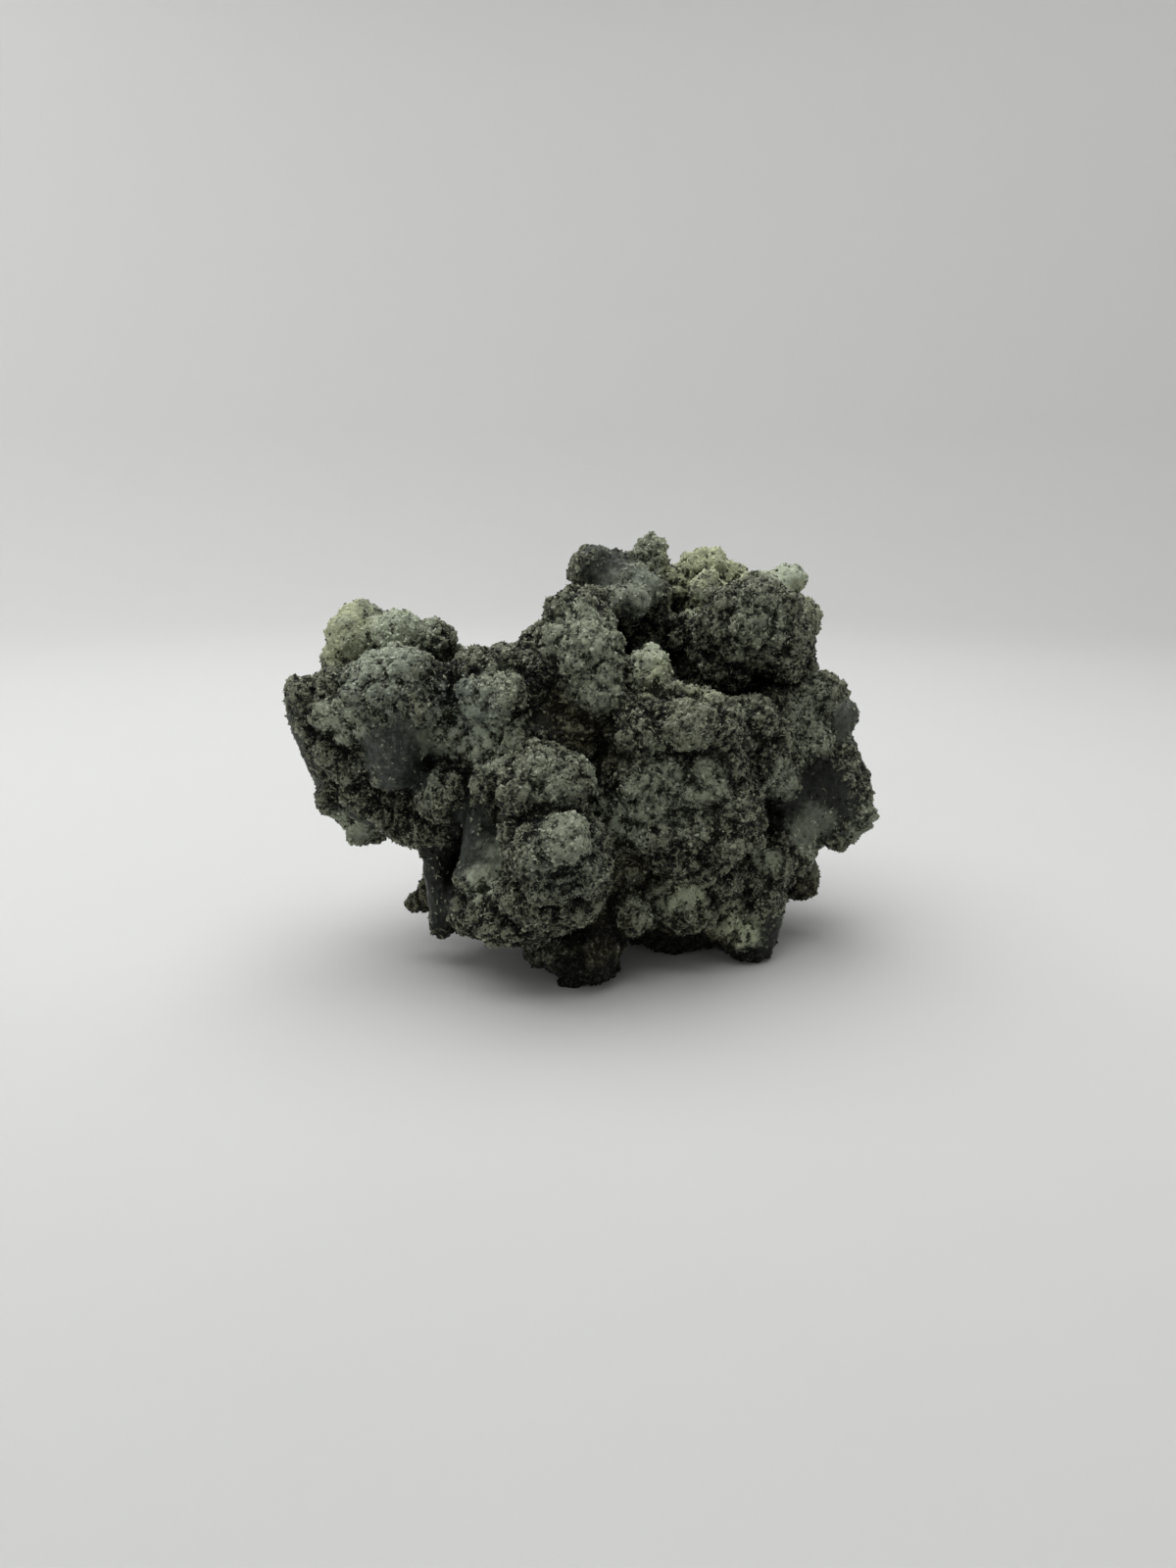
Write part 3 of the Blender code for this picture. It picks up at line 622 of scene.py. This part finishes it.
grains = {
    "crumbs": {                     # blocky little crystals
        "count": 23000,
        "size": (0.35, 0.75),       # mm
        "shape": (0.8, 0.9, 1.0),
        "lean": 3.1,                # how far they lean from upright, radians
        "tone": (-0.1, 0.8),        # darkest and lightest
        "onSmooth": 0.22,           # how many of them a smooth zone gets
        "seed": 3,
    },
    "plates": {                     # flat ones, set on edge
        "count": 23000,
        "size": (0.40, 0.85),
        "shape": (0.32, 0.9, 1.0),
        "lean": 1.2,
        "tone": (0.1, 0.95),
        "onSmooth": 0.12,
        "seed": 11,
    },
    "splinters": {                  # thin ones that lie about
        "count": 23000,
        "size": (0.45, 1.0),
        "shape": (0.2, 0.28, 1.0),
        "lean": 1.55,
        "tone": (0.35, 1.2),
        "onSmooth": 0.25,
        "seed": 23,
    },
}


def makeGrains(name, host):
    # One closed eight-sided crystal, repeated over the skin.
    plan = grains[name]
    bm = bmesh.new()
    bmesh.ops.create_cone(bm, segments=4, radius1=0.5, radius2=0.0, depth=0.5)
    base = [f for f in bm.faces if len(f.verts) == 4]
    bmesh.ops.delete(bm, geom=base, context="FACES_ONLY")
    bmesh.ops.translate(bm, vec=(0, 0, 0.25), verts=bm.verts)
    twin = bmesh.ops.duplicate(bm, geom=bm.verts[:] + bm.edges[:] + bm.faces[:])
    turned = [g for g in twin["geom"] if isinstance(g, bmesh.types.BMVert)]
    bmesh.ops.scale(bm, vec=(1, 1, -1), verts=turned)
    bmesh.ops.remove_doubles(bm, verts=bm.verts, dist=0.001)
    bmesh.ops.recalc_face_normals(bm, faces=bm.faces)
    bmesh.ops.scale(bm, vec=plan["shape"], verts=bm.verts)
    template = place("grain", meshFrom(bm, "grain"))
    piece = place(name, strew(name, host, plan, template))
    bpy.data.objects.remove(template)
    for v in piece.data.vertices:
        v.co.z = max(v.co.z, 0.0)
    print(name, len(piece.data.polygons), "faces")
    return piece


# Materials.

stoneColours = {
    # dark is also the colour of the painted shade in pockets
    "dark": (0.005, 0.006, 0.0035, 1),
    "mid": (0.041, 0.043, 0.026, 1),
    "light": (0.262, 0.276, 0.200, 1),
    "pale": (0.560, 0.615, 0.470, 1),
    "yellow": (0.640, 0.670, 0.425, 1),
    "blue": (0.240, 0.280, 0.245, 1),
    "brown": (0.024, 0.021, 0.010, 1),
    "stain": (0.150, 0.140, 0.082, 1),
    "wornDark": (0.009, 0.010, 0.008, 1),
    "wornLight": (0.072, 0.079, 0.064, 1),
    "speck": (0.200, 0.215, 0.180, 1),
}
stoneRanges = {
    # how light a fleck is where a colour starts and ends taking over
    "mid": (0.05, 0.45),
    "light": (0.42, 1.1),
    "blue": (0.0, 0.6),
    "pale": (-0.3, 0.5),
    "stain": (0.2, 0.9),
    "deep": (0.5, 1.0),             # of the depth, where the painted pocket shade takes over
}
stoneShares = {
    # the most that each zone covers
    "blue": 0.7,
    "pale": 0.9,
    "brown": 0.85,
    # the most that the painted pocket shade covers
    "deep": 0.85,
}


def mark(tree, name):
    return nodeIn(tree, "ShaderNodeAttribute", attribute_name=name).outputs["Fac"]


def mixed(tree, share, first, second):
    node = nodeIn(tree, "ShaderNodeMix", {0: share, 6: first, 7: second}, data_type="RGBA")
    return node.outputs[2]


def ranged(tree, value, low, high, toLow=0.0, toHigh=1.0):
    node = nodeIn(tree, "ShaderNodeMapRange", {
        "Value": value, "From Min": low, "From Max": high, "To Min": toLow, "To Max": toHigh,
    })
    return node.outputs[0]


def times(tree, first, second):
    return nodeIn(tree, "ShaderNodeMath", {0: first, 1: second}, operation="MULTIPLY").outputs[0]


def plus(tree, first, second):
    return nodeIn(tree, "ShaderNodeMath", {0: first, 1: second}, operation="ADD").outputs[0]


def blend(tree, values, plan):
    # How light a fleck is: the weighted sum of some values, each taken from its own middle.
    total = plan["start"]
    for name, (middle, weight) in plan["weights"].items():
        value = values[name] if name in values else mark(tree, name)
        total = plus(tree, times(tree, plus(tree, value, -middle), weight), total)
    return total


threadWidth = 0.06                  # how far from the middle a thread reaches


def threadsIn(tree, where, size):
    # Thin curly lines: near 1 where cloudy noise crosses its middle.
    away = plus(tree, noiseIn(tree, where, size, 4.0, 0.6), -0.5)
    away = nodeIn(tree, "ShaderNodeMath", {0: away}, operation="ABSOLUTE").outputs[0]
    return ranged(tree, away, 0.0, threadWidth, 1.0, 0.0)


def noiseIn(tree, where, size, detail=3.0, rough=0.6):
    # Cloudy noise whose patches are about this many mm across.
    node = nodeIn(tree, "ShaderNodeTexNoise", {
        "Vector": where, "Scale": 1 / (size * mm), "Detail": detail, "Roughness": rough,
    })
    return node.outputs[0]


def stoneColour(tree, fleck):
    # The crust's colour from how light this fleck is, and from the zone it lies in, darkened by
    # the depth mark as painted shade in pockets.
    c, r, share = stoneColours, stoneRanges, stoneShares
    colour = mixed(tree, ranged(tree, fleck, *r["mid"]), c["dark"], c["mid"])
    colour = mixed(tree, ranged(tree, fleck, *r["light"]), colour, c["light"])
    tint = mixed(tree, ranged(tree, fleck, *r["blue"]), c["wornDark"], c["blue"])
    colour = mixed(tree, times(tree, mark(tree, "blue"), share["blue"]), colour, tint)
    green = mixed(tree, mark(tree, "yellow"), c["pale"], c["yellow"])
    green = mixed(tree, ranged(tree, fleck, *r["pale"]), c["mid"], green)
    colour = mixed(tree, times(tree, mark(tree, "pale"), share["pale"]), colour, green)
    stain = mixed(tree, ranged(tree, fleck, *r["stain"]), c["brown"], c["stain"])
    colour = mixed(tree, times(tree, mark(tree, "brown"), share["brown"]), colour, stain)
    deep = ranged(tree, mark(tree, "depth"), *r["deep"], 0.0, share["deep"])
    return mixed(tree, deep, colour, c["dark"])


def newMaterial(name):
    material = bpy.data.materials.new(name)
    material.use_nodes = True
    tree = material.node_tree
    return material, tree, tree.nodes["Principled BSDF"]


crust = {
    "sizes": {"fine": 0.6, "threads": 1.1, "cells": 0.8, "patch": 3.6, "broad": 17.0},  # mm
    "weights": {
        # the middle of each value, and how much it counts
        "fine": (0.5, 3.6),
        "threads": (0.3, 0.90),
        "patch": (0.5, 0.6),
        "broad": (0.5, 0.4),
        "cells": (0.4, -0.5),
        # painted shade: the next three darken the flecks in creases, deep pockets and narrow
        # clefts
        "creaseShade": (0.5, -1.5),
        "depth": (0.2, -0.7),
        "cleftShade": (0.1, -1.6),
    },
    "start": 0.32,
    "rough": (0.72, 0.38),          # crusty, worn
    "bump": (1.0, 0.25),            # its strength: crusty, worn
    "bumpHeight": 0.45,             # mm
    "gloss": 0.16,
}
worn = {
    # the glassy and rubbed places
    "from": (0.35, 0.75),           # how smooth a zone is where they start and take over
    "finish": (0.2, 0.9),           # the same for roughness and bump
    "streak": 0.7,                  # mm across
    "long": 0.18,                   # streaks are drawn out upwards by this scale
    "light": (0.43, 0.62),          # from dark to light
    "speck": (0.60, 0.70),
    "blue": (0.3, 0.65),
    "blueShare": 0.7,
    "pale": (0.3, 0.6),
    "paleShare": 0.85,
    "pocketShadeShare": 0.9,
}


def wornColour(tree, where, fine, patch):
    c = stoneColours
    streaks = noiseIn(tree, nodeIn(tree, "ShaderNodeMapping", {
        "Vector": where, "Scale": (1.0, 1.0, worn["long"]),
    }).outputs[0], worn["streak"], 5.0, 0.8)
    streaks = plus(tree, times(tree, streaks, 0.5), times(tree, fine, 0.5))
    streaks = plus(tree, streaks, times(tree, plus(tree, patch, -0.5), 0.3))
    colour = mixed(tree, ranged(tree, streaks, *worn["light"]), c["wornDark"], c["wornLight"])
    colour = mixed(tree, ranged(tree, fine, *worn["speck"]), colour, c["speck"])
    blue = mixed(tree, ranged(tree, fine, *worn["blue"]), colour, c["blue"])
    colour = mixed(tree, times(tree, mark(tree, "blue"), worn["blueShare"]), colour, blue)
    pale = mixed(tree, mark(tree, "yellow"), c["pale"], c["yellow"])
    pale = mixed(tree, ranged(tree, fine, *worn["pale"], 0.5, 1.0), colour, pale)
    colour = mixed(tree, times(tree, mark(tree, "pale"), worn["paleShare"]), colour, pale)
    # painted shade: darker in pockets by the depth mark
    return mixed(tree, times(tree, mark(tree, "depth"), worn["pocketShadeShare"]), colour, c["dark"])


def crustMaterial():
    material, tree, shader = newMaterial("prehniteCrust")
    where = nodeIn(tree, "ShaderNodeTexCoord").outputs["Object"]
    sizes = crust["sizes"]
    fine = noiseIn(tree, where, sizes["fine"], 5.0, 0.75)
    patch = noiseIn(tree, where, sizes["patch"], 3.0)
    broad = noiseIn(tree, where, sizes["broad"], 2.0)
    cells = nodeIn(tree, "ShaderNodeTexVoronoi", {
        "Vector": where, "Scale": 1 / (sizes["cells"] * mm),
    }).outputs["Distance"]
    threads = threadsIn(tree, where, sizes["threads"])
    fleck = blend(tree, {
        "fine": fine, "threads": threads, "patch": patch, "broad": broad, "cells": cells,
    }, crust)
    smooth = mark(tree, "smooth")
    colour = mixed(tree, ranged(tree, smooth, *worn["from"]),
                   stoneColour(tree, fleck), wornColour(tree, where, fine, patch))
    tree.links.new(colour, shader.inputs["Base Color"])
    rough = ranged(tree, smooth, *worn["finish"], *crust["rough"])
    tree.links.new(rough, shader.inputs["Roughness"])
    height = plus(tree, fine, times(tree, cells, -0.5))
    height = plus(tree, height, times(tree, threads, 0.3))
    strength = ranged(tree, smooth, *worn["finish"], *crust["bump"])
    bump = nodeIn(tree, "ShaderNodeBump", {
        "Strength": strength, "Distance": crust["bumpHeight"] * mm, "Height": height,
    })
    tree.links.new(bump.outputs[0], shader.inputs["Normal"])
    shader.inputs["Specular IOR Level"].default_value = crust["gloss"]
    return material


crystal = {
    "sizes": {"patch": 3.2, "broad": 17.0},     # mm
    "weights": {
        "tone": (0.5, 2.2),
        "patch": (0.5, 0.6),
        "broad": (0.5, 0.4),
        # painted shade: the next three darken the grains in creases, deep pockets and narrow
        # clefts
        "creaseShade": (0.5, -1.3),
        "depth": (0.2, -0.7),
        "cleftShade": (0.1, -1.4),
    },
    "start": 0.36,
    "rough": 0.42,
    "gloss": 0.35,
}


def grainMaterial():
    material, tree, shader = newMaterial("prehniteGrains")
    where = nodeIn(tree, "ShaderNodeTexCoord").outputs["Object"]
    fleck = blend(tree, {
        "patch": noiseIn(tree, where, crystal["sizes"]["patch"], 3.0),
        "broad": noiseIn(tree, where, crystal["sizes"]["broad"], 2.0),
    }, crystal)
    tree.links.new(stoneColour(tree, fleck), shader.inputs["Base Color"])
    shader.inputs["Roughness"].default_value = crystal["rough"]
    shader.inputs["Specular IOR Level"].default_value = crystal["gloss"]
    return material


# The sheet it stands on, with painted shade in front and painted light up the wall.

sheet = {
    "flat": 0.42,                   # radius of the level part, metres
    "curve": 0.30,                  # radius of the sweep
    "step": 6,                      # degrees from ring to ring on it
    "wall": 1.1,                    # height of the wall above the sweep
    "sides": 96,
    # painted shade in front, the sheet's own tone in the middle, painted light up the wall
    "front": (0.515, 0.520, 0.512, 1),
    "middle": (0.610, 0.615, 0.608, 1),
    "back": (0.800, 0.800, 0.792, 1),
    "frontShadeFade": (-0.13, -0.01),     # metres along, where the painted shade in front ends
    "wallLightRise": (0.10, 0.38),         # metres up, where the painted light on the wall begins
    "cloud": 60.0,                  # mm across
    "cloudShare": 0.3,
    "rough": 0.9,
}


def makeSheet():
    # A round dish: a level disc whose edge sweeps up into a wall, the same from every side.
    bm = bmesh.new()
    bmesh.ops.create_circle(bm, cap_ends=True, segments=sheet["sides"],
                            radius=sheet["flat"])
    rim = [e for e in bm.edges if e.is_boundary]
    radius = sheet["flat"]
    angles = [math.radians(a) for a in range(sheet["step"], 91, sheet["step"])]
    steps = [(sheet["flat"] + sheet["curve"] * math.sin(a),
              sheet["curve"] * (1 - math.cos(a))) for a in angles]
    steps.append((steps[-1][0], steps[-1][1] + sheet["wall"]))
    height = 0.0
    for newRadius, newHeight in steps:
        grown = bmesh.ops.extrude_edge_only(bm, edges=rim)
        verts = [g for g in grown["geom"] if isinstance(g, bmesh.types.BMVert)]
        rim = [g for g in grown["geom"] if isinstance(g, bmesh.types.BMEdge)]
        bmesh.ops.scale(bm, vec=(newRadius / radius, newRadius / radius, 1), verts=verts)
        bmesh.ops.translate(bm, vec=(0, 0, newHeight - height), verts=verts)
        radius, height = newRadius, newHeight
    for f in bm.faces:
        f.smooth = True
    bmesh.ops.recalc_face_normals(bm, faces=bm.faces)
    piece = place("sheet", meshFrom(bm, "sheet"))
    material, tree, shader = newMaterial("paleSheet")
    where = nodeIn(tree, "ShaderNodeTexCoord").outputs["Object"]
    along = nodeIn(tree, "ShaderNodeSeparateXYZ", {0: where})
    cloud = plus(tree, noiseIn(tree, where, sheet["cloud"], 3.0), -0.5)
    # painted shade towards the front, painted light up the wall
    middle = plus(tree, ranged(tree, along.outputs["Y"], *sheet["frontShadeFade"]),
                  times(tree, cloud, sheet["cloudShare"]))
    colour = mixed(tree, middle, sheet["front"], sheet["middle"])
    back = ranged(tree, along.outputs["Z"], *sheet["wallLightRise"])
    colour = mixed(tree, back, colour, sheet["back"])
    tree.links.new(colour, shader.inputs["Base Color"])
    shader.inputs["Roughness"].default_value = sheet["rough"]
    piece.data.materials.append(material)


# Light and camera.

lamps = {
    # metres
    "above": {"at": (-0.12, 0.09, 0.50), "aim": (-0.12, 0.09, 0.0), "size": 0.70, "watts": 3.8},
    "front": {"at": (-0.30, -0.50, 0.45), "aim": (0.0, 0.0, 0.025), "size": 0.35, "watts": 0.2},
}
sky = {"colour": (1.0, 1.0, 0.99, 1), "strength": 0.31}


def makeLight():
    for name, plan in lamps.items():
        light = bpy.data.lights.new(name, "AREA")
        light.energy = plan["watts"]
        light.size = plan["size"]
        lamp = place(name, light)
        lamp.location = plan["at"]
        lamp.rotation_mode = "QUATERNION"
        aim = Vector(plan["at"]) - Vector(plan["aim"])
        lamp.rotation_quaternion = aim.to_track_quat("Z", "Y")
    world = bpy.data.worlds.new("studio")
    world.use_nodes = True
    background = world.node_tree.nodes["Background"]
    background.inputs["Color"].default_value = sky["colour"]
    background.inputs["Strength"].default_value = sky["strength"]
    bpy.context.scene.world = world


def makeCamera():
    camera = bpy.data.cameras.new("camera")
    camera.sensor_fit = "VERTICAL"
    camera.sensor_height = 36.0
    camera.lens = 36.0 * view["focal"]
    camera.clip_start = 0.005
    thing = place("camera", camera)
    thing.location = eye
    thing.rotation_mode = "QUATERNION"
    thing.rotation_quaternion = viewBack.to_track_quat("Z", "Y")
    bpy.context.scene.camera = thing


# Everything in turn.

makeCamera()
makeLight()
makeSheet()
skinPiece = makeSkin()
print("skin grown")
grainPieces = [makeGrains(name, skinPiece) for name in grains]
crustLook = crustMaterial()
grainLook = grainMaterial()
for piece in inHalves(skinPiece):
    wear(piece, crustLook)
for piece in grainPieces:
    wear(piece, grainLook)
print("dressed")

bpy.context.scene.view_settings.view_transform = "Standard"
